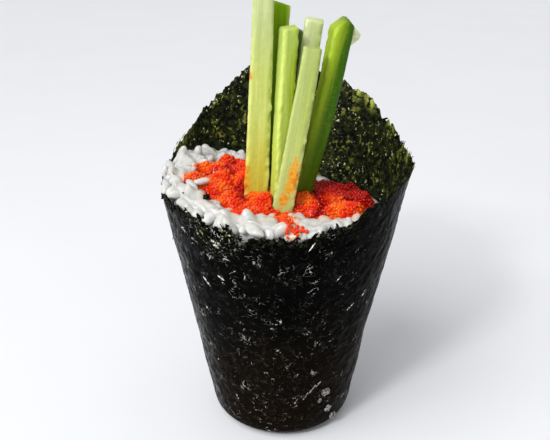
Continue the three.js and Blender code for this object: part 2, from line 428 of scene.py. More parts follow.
def sheet_radius(angle, z, turn, height):
    """Radius of the sheet's outside: wrinkled, wound in, lifted at its seam, flared at its rim."""
    radius = WALL.radius(angle, z)
    smooth = on_wall(angle, z, radius)
    spiral = SHEET_STEP * (0.5 - turn / 360)
    out = wrinkles(smooth) * smoothstep(z, 1.5, 9) + spiral
    from_seam = turn * radius * math.pi / 180
    lift = 0.35 * np.exp(-(from_seam / 2.0) ** 2) * (0.6 + noise_at(smooth, 6, 11))
    flare = 0.7 * noise_at(smooth, 9, 10) * smoothstep(z, height - 5, height)
    corner = 0.5 * bell(angle, 352, 7) * smoothstep(z, height - 7, height)
    return radius + out + lift + flare + corner


def make_nori(outside, inside):
    """The sheet, wound from its seam, with a pleated foot that closes towards the axis."""
    turn = np.linspace(0, SHEET_TURN, SHEET_COLUMNS)
    height = WALL.rim(SEAM_ANGLE + turn) + frayed_rim(SEAM_ANGLE + turn, turn)
    share = np.concatenate([np.zeros(FOOT_ROWS), np.linspace(0, 1, WALL_ROWS)])[:, None]
    foot = np.concatenate([np.linspace(0.03, 1, FOOT_ROWS, endpoint=False), np.ones(WALL_ROWS)])[:, None]
    z = 0.05 + share * (height - 0.05)
    angle = SEAM_ANGLE - SEAM_SLANT * (1 - np.clip(z / SEAM_HEIGHT, 0, 1)) + turn
    radius = sheet_radius(angle, z, turn, height) * foot
    pleats = 0.25 * (1 + np.sin(np.radians(angle * 11 + 60 * foot))) * foot * (1 - smoothstep(z, 1.5, 9))
    z = z + (0.55 * turn / SHEET_TURN + pleats * (foot < 1)) * (1 - smoothstep(z, 0.5, 4))
    points = on_wall(angle, z, radius)
    below_rim = (height - z).clip(0, None)
    thickness = NORI_THICKNESS * (0.35 + 0.65 * smoothstep(below_rim, 0, 1.2))
    inner = points - grid_normals(points) * thickness[..., None]
    sheet, faces, counts = closed_sheet(points, inner, grid_faces(*z.shape))
    side = np.repeat([0, 1, 1], counts)
    marks = {"below_rim": below_rim, "shine": shine_at(angle, z), "crease_sheen": crease_sheen_at(angle, z)}
    marks["backlit_thin"] = backlit_thin_at(angle)
    values = {key: np.tile(mark.ravel(), 2) for key, mark in marks.items()}
    add_piece("nori_sheet", sheet, faces, [outside, inside], ["nori_wrap"], side, values)


def strokes(paint, size, width, seed):
    """Short curved strokes: the places where noise passes through its middle, broken up."""
    where = paint.vector("ADD", paint.place(), (seed * 0.1, seed * 0.07, 0))
    lines = paint.noise(size, detail=1.0, distortion=0.7, vector=where)
    distance = paint.math("ABSOLUTE", paint.math("SUBTRACT", lines, 0.5))
    breaks = paint.between(paint.noise(size * 0.9, detail=2, vector=where), 0.5, 0.62)
    return paint.times(paint.between(distance, 0.0, width, 1.0, 0.0), breaks)


def nori_outside():
    paint = Paint("nori_outside", specular_ior_level=0.009)
    below_rim = paint.attribute("below_rim")
    flecks = paint.noise(1.3, detail=3, roughness=0.65, distortion=0.6)
    blotches = paint.between(paint.noise(7, detail=4, roughness=0.6), 0.35, 0.7)
    dark = paint.mix(blotches, (0.0008, 0.0009, 0.0008), (0.0022, 0.0022, 0.0019))
    # Browner towards the bottom: painted reflection of a brown surface below the roll.
    height = paint.add("SeparateXYZ", {"Vector": paint.place()}).outputs["Z"]
    height = paint.math("ADD", height, paint.times(paint.noise(14), 60 * MM))
    ground = paint.mix(paint.between(height, 35 * MM, 85 * MM, 0.8, 0.0), dark, (0.0065, 0.0034, 0.0013))
    olive = paint.times(paint.between(flecks, 0.5, 0.66), paint.between(below_rim, 0.0, 5.0, 1.0, 0.0))
    ground = paint.mix(olive, ground, (0.02, 0.026, 0.008))
    # Grey streaks on the creases beside the seam: painted sheen.
    tall = paint.vector("MULTIPLY", paint.place(), (1.0, 1.0, 0.22))
    streaks = paint.noise(0.8, roughness=0.6, vector=tall)
    painted_crease_sheen = paint.times(paint.between(streaks, 0.54, 0.64), paint.attribute("crease_sheen"))
    ground = paint.mix(painted_crease_sheen, ground, (0.2, 0.205, 0.215))
    shine = paint.attribute("shine")
    level = paint.math("ADD", paint.noise(5.0, detail=4, roughness=0.75), paint.times(shine, 0.2))
    bright = paint.math("POWER", paint.between(level, 0.5, 0.79), 2.5)
    lines = paint.math("MAXIMUM", strokes(paint, 3.4, 0.02, 1), strokes(paint, 1.9, 0.026, 2))
    lines = paint.math("MAXIMUM", lines, strokes(paint, 2.5, 0.022, 3))
    glint = paint.times(lines, paint.between(bright, 0.0, 1.0, 0.022, 0.8))
    # Cream and green flecks where the light strikes under the left of the rim: painted glints.
    painted_glint_flecks = paint.times(paint.between(flecks, 0.56, 0.64), paint.between(shine, 0.75, 1.25))
    glint_fleck_colour = paint.mix(paint.between(paint.noise(2.4), 0.42, 0.58), (0.16, 0.2, 0.04), (0.8, 0.8, 0.66))
    ground = paint.mix(painted_glint_flecks, ground, glint_fleck_colour)
    paint.shade("Base Color", paint.mix(glint, ground, (1.0, 1.0, 0.9)))
    paint.shade("Roughness", paint.between(paint.noise(2.2, detail=4), 0.3, 0.7, 0.12, 0.38))
    crinkle = paint.noise(3.0, detail=4, vector=paint.warped_place(1.5), kind="RIDGED_MULTIFRACTAL")
    coarse = paint.bump(crinkle, 0.36, 0.8)
    paint.shade("Normal", paint.bump(flecks, 0.08, 0.6, coarse))
    return paint.material


def nori_inside():
    paint = Paint("nori_inside", specular_ior_level=0.12)
    below_rim = paint.attribute("below_rim")
    patches = paint.noise(5.0, detail=3, roughness=0.6)
    flecks = paint.noise(1.9, detail=4, roughness=0.65, distortion=0.6)
    sparks = paint.noise(1.05, detail=2, roughness=0.5)
    dark = paint.mix(paint.between(flecks, 0.4, 0.56), (0.0018, 0.0022, 0.0016), (0.016, 0.022, 0.004))
    lively = paint.between(patches, 0.42, 0.6, 0.06, 1.0)
    olive = paint.times(paint.between(flecks, 0.54, 0.67), lively)
    hue = paint.mix(paint.between(paint.noise(3.0), 0.4, 0.6), (0.2, 0.29, 0.03), (0.3, 0.27, 0.05))
    ground = paint.mix(olive, dark, hue)
    # Bright specks in lively patches: painted light shining through thin spots of the sheet.
    painted_light_specks = paint.times(paint.between(sparks, 0.63, 0.7), lively)
    ground = paint.mix(painted_light_specks, ground, (0.75, 0.8, 0.42))
    # Yellow by the rim where the sheet is thin: painted light shining through it.
    near_rim = paint.between(below_rim, 1.0, 4.5, 1.0, 0.0)
    ragged = paint.between(paint.noise(1.6, detail=4), 0.4, 0.52)
    backlit_thin = paint.times(paint.times(ragged, near_rim), paint.attribute("backlit_thin"))
    paint.shade("Base Color", paint.mix(backlit_thin, ground, (0.62, 0.68, 0.12)))
    paint.shade("Roughness", paint.between(paint.noise(1.4), 0.3, 0.7, 0.3, 0.6))
    leaf = paint.cell_edges(1.7, paint.warped_place(1.3))
    coarse = paint.bump(paint.between(leaf, 0.0, 0.3), 0.2, 0.8)
    paint.shade("Normal", paint.bump(flecks, 0.3, 0.8, coarse))
    return paint.material


CRUMBS = 300
CRUMB_THICKNESS = 0.08
# Angle, spread in degrees, number and depth below the rim of the frayed hairs.
TUFTS = (
    (353, 4, 30, 0), (6, 5, 14, 0), (18, 4, 14, 0), (196, 4, 8, 0), (194, 2, 8, 12), (230, 14, 16, 0),
    (356, 1.5, 6, 28), (354, 2, 5, 14), (152, 6, 10, 0),
)
# Angle, share of the wall's radius, turn in degrees and length of the flakes on the filling.
FLAKES = ((224.5, 0.81, 20, 2.4), (222, 0.79, 80, 1.6), (228, 0.83, 130, 1.2), (216, 0.93, 60, 0.7))
# Angle, height, length, width and tilt in radians of the raised creases on the nori, whose brightness is
# painted glints.
GLINT_CREASES = (
    (229, 57.0, 3.6, 0.36, -0.62), (281.5, 72.2, 3.0, 0.34, 0.95), (308, 48.6, 3.0, 0.22, 0.5),
    (317, 51.5, 2.6, 0.22, 0.7), (246, 63.0, 2.4, 0.26, 0.6), (239, 60, 2.4, 0.4, -0.4),
    (297, 60.5, 2.4, 0.2, 0.8),
)
# The same of the pale grey marks low on the right of the nori, and of a pale speck on its left.
PALE_MARKS = (
    (301, 17.5, 3.0, 2.4, 0.3), (297, 14.5, 1.6, 1.0, 1.2), (306, 9.6, 2.4, 2.0, 0.9),
    (314, 4.6, 2.8, 2.2, 0.2), (285.5, 18, 3.0, 0.35, 1.0), (290, 20.5, 3.4, 0.4, 0.9),
    (279, 16.4, 2.2, 0.3, 1.1), (294, 22, 2.4, 0.4, 0.8), (223.7, 27.3, 0.6, 0.5, 0.0),
)


def wall_frames(angles, turns):
    """Matrices that lay X along the wall, turned about its normal, and Z out of it."""
    matrices = []
    for angle, turn in zip(np.radians(angles), turns):
        out = np.array([math.cos(angle), math.sin(angle), 0])
        side = np.array([-math.sin(angle), math.cos(angle), 0])
        along = math.cos(turn) * side + math.sin(turn) * np.array([0, 0, 1])
        matrices.append(np.array([along, np.cross(out, along), out]).T)
    return np.array(matrices)


def rim_height(angle):
    """Height of the torn rim, on the sheet's outer layer."""
    turn = (angle - SEAM_ANGLE) % 360
    return WALL.rim(angle) + frayed_rim(SEAM_ANGLE + turn, turn)


def torn_bits():
    """Places and matrices of the small torn bits and hairs along the rim."""
    front = 245 + 75 * (random.random(CRUMBS) - 0.5) + 30 * random.normal(size=CRUMBS)
    bits = np.concatenate([front, 360 * random.random(CRUMBS // 4)])
    hairs = np.concatenate([at + width * random.normal(size=count) for at, width, count, _ in TUFTS])
    drops = np.concatenate([np.full(count, depth) for _, _, count, depth in TUFTS])
    angles = np.concatenate([bits, hairs])
    count = len(angles)
    is_bit = np.arange(count) < len(bits)
    length = np.where(is_bit, random.uniform(0.25, 0.8, count), random.uniform(0.6, 1.5, count))
    width = np.where(is_bit, random.uniform(0.15, 0.4, count), random.uniform(0.07, 0.13, count))
    sizes = np.column_stack([length, width, np.full(count, CRUMB_THICKNESS)])
    z = rim_height(angles) + random.uniform(-1.4, 0.1, count)
    z[len(bits):] -= drops
    turns = random.normal(size=count) * 0.7 + math.pi / 2
    lean = frames_from(random.normal(size=(count, 3)) * 0.3 + (0, 0, 1), turns * 0, turns * 0)
    matrices = wall_frames(angles, turns) @ lean * sizes[:, None, :]
    return on_wall(angles, z, WALL.radius(angles, z) + random.uniform(-0.4, 0.35, count)), matrices


def flakes_on_filling(filling_top):
    """Places and matrices of a few dark flakes on the rice and the roe."""
    angle, share, turn, length = np.array(FLAKES).T
    places = on_wall(angle, 0.0, share * WALL.radius(angle, ROE_LEVEL))
    places[:, 2] = filling_top(places[:, :2]) + 0.8
    sizes = np.column_stack([length / 2, length * 0.4, length * 0.08])
    up = np.tile(Vector((-0.2, -0.45, 1.0)).normalized(), (len(places), 1))
    return places, frames_from(up, np.radians(turn), turn * 0) * sizes[:, None, :]


def make_crumbs(material, filling_top):
    shape, faces = ball(2)
    shape = shape * (1 + 0.5 * noise_at(shape, 0.7, 13)[:, None])
    places, matrices = map(np.concatenate, zip(torn_bits(), flakes_on_filling(filling_top)))
    points, faces = copies(shape, faces, matrices, places)
    add_piece("nori_crumbs", points, faces, [material])


def lay_on_wall(shape, faces, table, lift, thickness, per_width):
    """Copies of a shape that lie on the nori at the places and in the sizes of a table."""
    angle, z, length, width, tilt = np.array(table).T
    sizes = np.column_stack([length / 2, width / 2, thickness + per_width * width])
    matrices = wall_frames(angle, tilt) * sizes[:, None, :]
    return copies(shape, faces, matrices, on_wall(angle, z, WALL.radius(angle, z) + lift))


def make_pale_marks(material):
    """Thin pale grey marks low on the right of the nori, and a speck on its left."""
    shape, faces = ball(4)
    shape = shape * (1 + 0.35 * noise_at(shape, 0.6, 14)[:, None])
    points, faces = lay_on_wall(shape, faces, PALE_MARKS, 0.28, 0.14, 0.1)
    add_piece("pale_marks", points, faces, [material])


def make_glint_creases(material):
    """Fine raised creases of the nori, with glints painted on them."""
    shape, faces = ball(3)
    shape[:, 1] += noise_at(shape * (2, 0, 0), 1.0, 15)
    shape = shape * (1 + 0.5 * noise_at(shape * (4, 1, 1), 0.8, 16)[:, None] * (0, 1, 1))
    points, faces = lay_on_wall(shape, faces, GLINT_CREASES, 0.3, 0.0, 0.6)
    add_piece("nori_glint_creases", points, faces, [material])


def glint_crease_paint():
    paint = Paint("nori_glint_crease", specular_ior_level=0.5, roughness=0.2)
    broken = paint.between(paint.noise(0.7, detail=3), 0.4, 0.6)
    # Pale broken colour along the creases: painted glints.
    paint.shade("Base Color", paint.mix(broken, (0.06, 0.06, 0.055), (0.8, 0.8, 0.74)))
    paint.shade("Normal", paint.bump(paint.noise(0.4), 0.1, 0.8))
    return paint.material


def pale_mark_paint():
    paint = Paint("pale_marks", subsurface_weight=0.2, subsurface_scale=0.001, roughness=0.2)
    clouds = paint.between(paint.noise(0.6, detail=4), 0.38, 0.64)
    paint.shade("Base Color", paint.mix(clouds, (0.02, 0.02, 0.018), (0.36, 0.36, 0.34)))
    paint.shade("Normal", paint.bump(paint.noise(0.6, detail=3), 0.2, 0.8))
    return paint.material


# -------- rice

GRAIN_LENGTH = 6.0
GRAIN_WIDTH = 3.1
GRAIN_SPACING = 2.3
GRAIN_TRIES = 9000
RICE_RADIUS = 34.0
RICE_LEVEL = 70.0  # about where the rice meets the wall
ROE_MARGIN = 1.6  # how far grains stay away from the roe at the back left
FRONT_OVERLAP = 0.5  # how far they lie over its edge elsewhere
WALL_GAP = 0.7  # nori and the air between it and the rice
CORE_INSET = 0.9  # from the rice's edge to the middle of its outermost grains
CORE_RINGS = 90
CORE_FOOT = 1.5
# Angle, share of the wall's radius, turn, tilt and length of the grains that lie on the roe.
GRAINS_ON_ROE = ((206.5, 0.79, 72, 10, 7.2), (203, 0.69, -14, 0, 5.6))


def inside_radius(angle, z):
    return WALL.radius(angle, z) - WALL_GAP


class HeightMap:
    """Heights on a square grid over the roll's plan."""

    CELL = 0.35
    REACH = 36.0

    def __init__(self, top):
        steps = np.arange(-self.REACH, self.REACH, self.CELL)
        self.grid = np.stack(np.meshgrid(steps, steps, indexing="ij"), -1)
        self.height = spread_outwards(top, self.grid)

    def raise_to_grains(self, matrices, places):
        """Lifts the map to the tops of ellipsoids, each given by a matrix and its centre."""
        for inverse, place in zip(np.linalg.inv(matrices), places):
            low = np.floor((place[:2] + self.REACH - GRAIN_LENGTH * 0.6) / self.CELL).astype(int)
            span = round(GRAIN_LENGTH * 1.2 / self.CELL)
            window = tuple(slice(start, start + span) for start in low.clip(0, None))
            flat = (self.grid[window] - place[:2]) @ inverse[:, :2].T
            rise = inverse[:, 2]
            a, b, c = rise @ rise, flat @ rise, (flat ** 2).sum(-1) - 1
            inside = b ** 2 - a * c
            top = place[2] + (np.sqrt(inside.clip(0, None)) - b) / a
            before = self.height[window]
            self.height[window] = np.where(inside > 0, np.maximum(before, top), before)

    def blur(self, radius):
        reach = round(3 * radius / self.CELL)
        weight = np.exp(-0.5 * (np.arange(-reach, reach + 1) * self.CELL / radius) ** 2)
        weight /= weight.sum()
        for axis in (0, 1):
            pad = [(reach, reach) if a == axis else (0, 0) for a in (0, 1)]
            wide = np.pad(self.height, pad, mode="edge")
            self.height = np.apply_along_axis(np.convolve, axis, wide, weight, mode="valid")

    def sample(self, points):
        place = (points[..., :2] + self.REACH) / self.CELL
        place = place.clip(0, self.height.shape[0] - 1.001)
        x, y = np.moveaxis(np.floor(place).astype(int), -1, 0)
        return blend(self.height, x, x + 1, y, y + 1, place[..., 0] - x, place[..., 1] - y)


def spread_outwards(top, plan):
    """Heights over the plan; where there are none, those found on the way to the axis."""
    height = top(plan)
    for share in np.arange(0.97, 0, -0.03):
        missing = np.isnan(height)
        height[missing] = top(plan[missing] * share)
    return height


def make_rice_core(surface, material):
    """The sticky mass between the grains, down to the foot: rings of points, closed by two fans."""
    angle = np.arange(0, 360, 1.0)
    share = np.linspace(0.01, 1, CORE_RINGS)[:, None]
    top = on_wall(angle, 0.0, share * (inside_radius(angle, RICE_LEVEL) - CORE_INSET))
    top[..., 2] = surface.sample(top)
    top[..., 2] += 0.12 * noise_at(top, 1.5, 20)
    side_z = CORE_FOOT + (top[-1, :, 2] - CORE_FOOT) * np.linspace(1, 0, 12)[1:, None]
    side = on_wall(angle, side_z, WALL.radius(angle, side_z) - WALL_GAP - CORE_INSET)
    rings = np.concatenate([top, side])
    points = rings.reshape(-1, 3)
    here = np.arange(len(points)).reshape(rings.shape[:2])
    after = np.roll(here, -1, axis=1)
    first, last = np.full(len(angle), len(points)), np.full(len(angle), len(points) + 1)
    triangles = [
        np.stack([after[1:], after[:-1], here[:-1]], -1).reshape(-1, 3),
        np.stack([here[1:], after[1:], here[:-1]], -1).reshape(-1, 3),
        np.stack([here[0], after[0], first], -1),
        np.stack([after[-1], here[-1], last], -1),
    ]
    values = {"tone": np.full(len(points) + 2, 0.5), "stain": np.append(roe_stain(points), [0, 0])}
    points = np.concatenate([points, [rings[0].mean(0), rings[-1].mean(0)]])
    add_piece("rice_core", points, np.concatenate(triangles), [material], values=values)


def grain_shape():
    """A cooked grain: plump, a little bent, blunt at both ends."""
    points, faces = ball(3)
    x, y, z = points.T
    blunt = np.sqrt((1 - np.abs(x) ** 2.8 + 1e-4) / (1 - x ** 2 + 1e-4))
    shaped = np.stack([x, y * blunt, z * blunt], -1)
    shaped[:, 1] += 0.2 * (x ** 2 - 0.4)
    shaped *= 1 + 0.05 * noise_at(shaped, 0.9, 22)[:, None]
    return shaped, faces


def frames_from(normals, turns, tilts):
    """Turns that lay a shape's X along a surface, turned about its normal, and tilt it."""
    matrices = []
    for normal, turn, tilt in zip(normals, turns, tilts):
        up = Vector(normal)
        across = up.orthogonal().normalized()
        along = across * math.cos(turn) + up.cross(across) * math.sin(turn)
        along = (along * math.cos(tilt) + up * math.sin(tilt)).normalized()
        side = up.cross(along).normalized()
        matrices.append(np.array([along, side, along.cross(side)]).T)
    return np.array(matrices)


def scatter_grains():
    """Centres of the grains on top, and the matrices that turn a unit ball into each of them."""
    radius = RICE_RADIUS * np.sqrt(random.random(GRAIN_TRIES))
    angle = random.random(GRAIN_TRIES) * 360
    flat = on_wall(angle, 0.0, radius)
    surface = RICE_TOP(flat[:, :2])
    inside = (radius < inside_radius(angle, surface) - CORE_INSET) & ~np.isnan(surface)
    margin = np.where(np.abs(angle_between(angle, 165)) < 55, ROE_MARGIN, -FRONT_OVERLAP)
    probe = flat[:, :2] * (1 - margin / np.maximum(radius, 1))[:, None]
    uncovered = np.isnan(ROE_TOP(probe))
    places = np.column_stack([flat[:, :2], surface])[inside & uncovered]
    places = places[spread(places, GRAIN_SPACING)]
    count = len(places)
    outwards = places * (1, 1, 0) / RICE_RADIUS
    normals = np.array([0, 0, 1]) + 0.3 * random.normal(size=(count, 3)) + 0.35 * outwards
    normals /= np.linalg.norm(normals, axis=1, keepdims=True)
    turns = random.random(count) * math.tau
    tilts = 0.35 * random.normal(size=count)
    sizes = 0.5 * np.array([GRAIN_LENGTH, GRAIN_WIDTH, 0.86 * GRAIN_WIDTH])
    sizes = sizes * (1 + 0.11 * random.normal(size=(count, 1, 3)).clip(-1.6, 1.6))
    places[:, 2] += 0.4 * random.normal(size=count).clip(-1.5, 1.5) - 0.5
    return places, frames_from(normals, turns, tilts) * sizes


def grains_on_roe(filling_top):
    """Two grains that lie bent against each other on the left of the roe."""
    angle, share, turn, tilt, length = np.array(GRAINS_ON_ROE).T
    places = on_wall(angle, 0.0, share * WALL.radius(angle, ROE_LEVEL))
    places[:, 2] = filling_top(places[:, :2]) + 0.9
    sizes = np.column_stack(np.broadcast_arrays(length / 2, 1.15, 0.95))
    up = np.tile([0.0, 0.0, 1.0], (len(places), 1))
    return places, frames_from(up, np.radians(turn), np.radians(tilt)) * sizes[:, None, :]


def keep_in_wall(points, gap=0.35):
    """Pushes points below the rim back inside the nori, as the sheet presses on the grains."""
    angle = angle_of(points)
    over_rim = smoothstep(points[:, 2], WALL.rim(angle) - 0.3, WALL.rim(angle) + 1.2)
    most = WALL.radius(angle, points[:, 2]) - NORI_THICKNESS - gap + over_rim
    scale = np.minimum(1, most / np.maximum(radius_of(points), 1e-6))
    return points * np.stack([scale, scale, np.ones_like(scale)], -1)


def roe_stain(points, reach=2.2):
    """How much roe juice tints the points: 1 at the roe, 0 away from it, 0.9 under the spill."""
    tree = ROE_TOP.tree
    distance = np.array([tree.find_nearest(Vector(p))[3] for p in points.tolist()])
    spilled = 0.9 * bell(angle_of(points), SPILL[0], 3.5)
    return np.maximum(1 - smoothstep(distance, 0.2, reach), spilled)


def make_rice_grains(places, matrices, material):
    shape, faces = grain_shape()
    points, faces = copies(shape, faces, matrices, places)
    points = keep_in_wall(points)
    tone = np.repeat(random.random(len(places)), len(shape))  # one number a grain
    values = {"tone": tone, "stain": roe_stain(points)}
    add_piece("rice_grains", points, faces, [material], ["rice_filling"], values=values)


def smear_at(plan):
    """Where the rice is pressed into a smooth mass: at the front left, near the rim."""
    return smoothstep(radius_of(plan), 22, 30) * bell(angle_of(plan), 213, 40)


def make_rice(material, roe_grid, roe_top):
    """Makes the rice and gives a function for the height of the filling's top at places."""
    places, matrices = scatter_grains()
    surface = HeightMap(RICE_TOP)
    surface.height -= 1.6
    surface.raise_to_grains(matrices * 1.02, places)
    surface.blur(0.6)
    surface.height += 1.0 * smear_at(surface.grid) + 0.25

    def filling_top(plan):
        return np.maximum(at_places(roe_top, roe_grid, plan), surface.sample(plan))

    make_rice_core(surface, material)
    places, matrices = map(np.concatenate, zip((places, matrices), grains_on_roe(filling_top)))
    make_rice_grains(places, matrices, material)
    return filling_top


def rice_paint():
    paint = Paint("rice", subsurface_weight=0.5, subsurface_scale=0.002, specular_ior_level=0.5)
    paint.shade("Subsurface Radius", (1.0, 0.9, 0.75))
    warm = paint.mix(paint.attribute("tone"), (0.52, 0.515, 0.485), (0.64, 0.635, 0.605))
    cloudy = paint.mix(paint.between(paint.noise(1.6), 0.45, 0.75), warm, (0.47, 0.465, 0.44))
    pink = paint.times(paint.attribute("stain"), paint.between(paint.noise(2.0), 0.3, 0.6))
    paint.shade("Base Color", paint.mix(pink, cloudy, (0.78, 0.36, 0.2)))
    paint.shade("Roughness", paint.between(paint.noise(0.9), 0.3, 0.7, 0.2, 0.42))
    paint.shade("Normal", paint.bump(paint.noise(0.8, detail=4), 0.1, 0.6))
    return paint.material


# -------- roe

EGG = 0.95  # diameter
EGG_SPACING = 0.74
EGG_TRIES = 26000
ROE_CELL = 0.4
CLUMP_SPACING = 8.4
CLUMP_RISE = 3.0
# Angle and its spread, share of the wall's radius and its spread, and number of tries for the
# spilled eggs.
SPILL = (273, 2.3, 0.885, 0.045, 70)


def roe_field():
    """The roe's top on a fine grid, nan where there is none, and its painted shade: deep in the crevices
    between clumps and at the back right.
    """
    low, high = (np.array(corner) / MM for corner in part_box("roe_topping"))
    xs = np.arange(low[0] - 1, high[0] + 1, ROE_CELL)
    ys = np.arange(low[1] - 1, high[1] + 1, ROE_CELL)
    grid = np.stack(np.meshgrid(xs, ys, indexing="ij"), -1)
    top = ROE_TOP(grid)
    where = np.concatenate([grid, np.zeros((*top.shape, 1))], -1)
    places = where.reshape(-1, 3)[random.permutation(top.size)]
    seeds = places[spread(places, CLUMP_SPACING)][:, :2]
    bent = grid + 3.0 * np.stack([noise_at(where, 5, 33), noise_at(where, 5, 34)], -1)
    nearest = np.sqrt(((bent[..., None, :] - seeds) ** 2).sum(-1)).min(-1)
    share = np.clip(nearest / (0.66 * CLUMP_SPACING), 0, 1)
    clumps = np.sqrt(1 - 0.999 * share ** 2)
    top += CLUMP_RISE * (clumps - 0.65) + 0.7 * noise_at(where, 2.6, 31)
    top += 0.9 * smoothstep(-grid[..., 0], 4, 14) * smoothstep(grid[..., 1], -16, -6)
    # Painted shade: the back right lies in the shade behind the sticks.
    back_right_shade = smoothstep(grid[..., 1], -17, -7) * smoothstep(grid[..., 0], 4, 9)
    return grid, top, np.maximum(1 - clumps, back_right_shade)


def at_places(values, grid, places):
    """A grid's values at the places, from the nearest point, with 0 for nan."""
    cell = np.round((places - grid[0, 0]) / ROE_CELL).astype(int)
    cell = cell.clip(0, np.array(values.shape) - 1)
    return np.nan_to_num(values[cell[..., 0], cell[..., 1]])


def make_roe_core(grid, top, crevice_shade, material):
    """A solid just under the eggs, with the relief of the eggs below the loose ones."""
    floor = RICE_TOP(grid)
    floor = np.where(np.isnan(floor), np.nanmean(floor), floor) - 1.5
    filled = ~np.isnan(top)
    height = np.maximum(np.where(filled, top - 0.3 * EGG, floor), floor)
    surface = np.concatenate([grid, height[..., None]], -1)
    surface[..., 2] += 0.16 * noise_at(surface, 0.75, 32)
    blocks = (filled[:-1, :-1] & filled[1:, :-1] & filled[1:, 1:] & filled[:-1, 1:]).ravel()
    quads = grid_faces(*top.shape)[blocks][:, [0, 3, 2, 1]]
    used, faces = np.unique(quads, return_inverse=True)
    faces = faces.reshape(quads.shape)
    above = surface.reshape(-1, 3)[used]
    below = above.copy()
    below[:, 2] = np.minimum(floor.ravel()[used], above[:, 2] - 0.5)
    points, faces, _ = closed_sheet(above, below, faces)
    # Painted shade on the core: a little everywhere, more in the crevices.
    depth = np.nan_to_num(np.tile(0.14 + 0.8 * crevice_shade.ravel()[used], 2))
    values = {"tone": np.full(len(depth), 0.3), "crevice_shade": depth}
    add_piece("roe_core", points, faces, [material], values=values)


def spilled_eggs(filling_top):
    """Places of a few eggs that ran over the rice to the front of the rim."""
    at, angle_spread, share, share_spread, count = SPILL
    angle = at + angle_spread * random.normal(size=count)
    share = (share + share_spread * random.normal(size=count)).clip(0.8, 0.97)
    places = on_wall(angle, 0.0, share * WALL.radius(angle, WALL.rim(angle)))
    places[:, 2] = filling_top(places[:, :2]) + 0.3 * EGG
    return places[spread(places, EGG_SPACING)]


def make_roe_eggs(grid, top, crevice_shade, filling_top, material):
    """Loose eggs all over the core, as dense on its slopes as on its tops, and the spilled ones."""
    slope_x, slope_y = np.gradient(top, ROE_CELL)
    area = np.sqrt(1 + slope_x ** 2 + slope_y ** 2)
    chance = np.where(np.isnan(area), 0, np.minimum(area, 3.0)).ravel()
    picks = random.choice(chance.size, size=EGG_TRIES, p=chance / chance.sum())
    jitter = (random.random((len(picks), 2)) - 0.5) * ROE_CELL
    flat = grid.reshape(-1, 2)[picks] + jitter
    places = np.column_stack([flat, top.ravel()[picks] - 0.3 * EGG])
    places = places[spread(places, EGG_SPACING)]
    heaped = len(places)
    places = np.concatenate([places, spilled_eggs(filling_top)])
    count = len(places)
    radius = EGG / 2 * (1 + 0.12 * random.normal(size=(count, 1, 1)).clip(-1.5, 1.5))
    squash = 1 + 0.08 * random.normal(size=(count, 1, 3)).clip(-1.5, 1.5)
    matrices = np.eye(3)[None] * radius * squash
    shape, faces = ball(2)
    points, faces = copies(shape, faces, matrices, places)
    tone = random.random(count)
    # Painted shade of each egg, from the crevices and the back right; none on the spilled eggs.
    depth = at_places(crevice_shade, grid, places[:, :2])
    depth[heaped:] = 0
    values = {"tone": np.repeat(tone, len(shape)), "crevice_shade": np.repeat(depth, len(shape))}
    add_piece("roe_eggs", points, faces, [material], ["roe_topping"], values=values)


def roe_paint():
    paint = Paint("roe", subsurface_weight=0.45, subsurface_scale=0.0012, roughness=0.08,
                  specular_ior_level=0.3)
    paint.shade("Subsurface Radius", (1.0, 0.35, 0.12))
    red = paint.mix(paint.attribute("tone"), (0.68, 0.01, 0.001), (0.84, 0.06, 0.002))
    clouds = paint.between(paint.noise(5.0, detail=2), 0.45, 0.62)
    orange = paint.mix(clouds, red, (0.9, 0.14, 0.006))
    # Deep red in the crevices and at the back right: painted shade.
    painted_shade = paint.between(paint.attribute("crevice_shade"), 0.25, 0.8)
    paint.shade("Base Color", paint.mix(painted_shade, orange, (0.42, 0.005, 0.001)))
    paint.shade("Normal", paint.bump(paint.noise(0.5), 0.05, 0.4))
    return paint.material


# -------- cucumber

STICK_VOXEL = 0.4
FLAP_WIDTH = 2.4
FLAP_LENGTH = 5.5
FLAP_RISE = 0.4  # over the top of its stick
FLAP_THICKNESS = 0.45
FLAP_ROWS = 14
FLAP_COLUMNS = 7
STAIN = (0.7, 0.34, 0.025), (0.68, 0.17, 0.005)
# How far the cut top of a stick is raised, from its left edge at -1 to its right edge at 1.
TOP_LIFTS = {
    3: ((-1, 0.7), (0.2, 1.2), (1, 1.4)),
    7: ((-1, -1.0), (-0.3, 2.6), (0, 2.8), (1, 0.5)),
}


def stick_axes(node):
    """Centre and axes of a stick: across its front, into its depth, and up along it."""
    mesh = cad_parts[node].data
    points = node_points(node)
    centre = points.mean(0)
    up = np.linalg.svd(points - centre)[2][0]
    up = up * np.sign(up[2])
    sides = [side for side in mesh.polygons if abs(np.array(side.normal) @ up) < 0.3]
    depth = np.array(max(sides, key=lambda side: side.area).normal)
    depth = depth - up * (depth @ up)
    depth = depth / np.linalg.norm(depth)
    sideways = np.cross(depth, up)
    if abs(sideways[0]) < abs(depth[0]):
        sideways, depth = -depth, sideways
    if sideways[0] < 0:
        sideways, depth = -sideways, -depth
    return centre, sideways, depth, up


def fine_mesh(node):
    """Points in millimetres, normals and quads of a node's mesh, made fine and a little rounded."""
    source = add_object(node + "_source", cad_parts[node].data.copy())
    remesh = source.modifiers.new("remesh", "REMESH")
    remesh.mode = "VOXEL"
    remesh.voxel_size = STICK_VOXEL * MM
    smooth = source.modifiers.new("smooth", "SMOOTH")
    smooth.iterations = 3
    bpy.context.view_layer.update()
    shown = source.evaluated_get(bpy.context.evaluated_depsgraph_get())
    mesh = bpy.data.meshes.new_from_object(shown)
    bpy.data.objects.remove(source)
    points = np.array([v.co for v in mesh.vertices]) / MM
    normals = np.array([v.normal for v in mesh.vertices])
    return points, normals, np.array([tuple(p.vertices) for p in mesh.polygons])


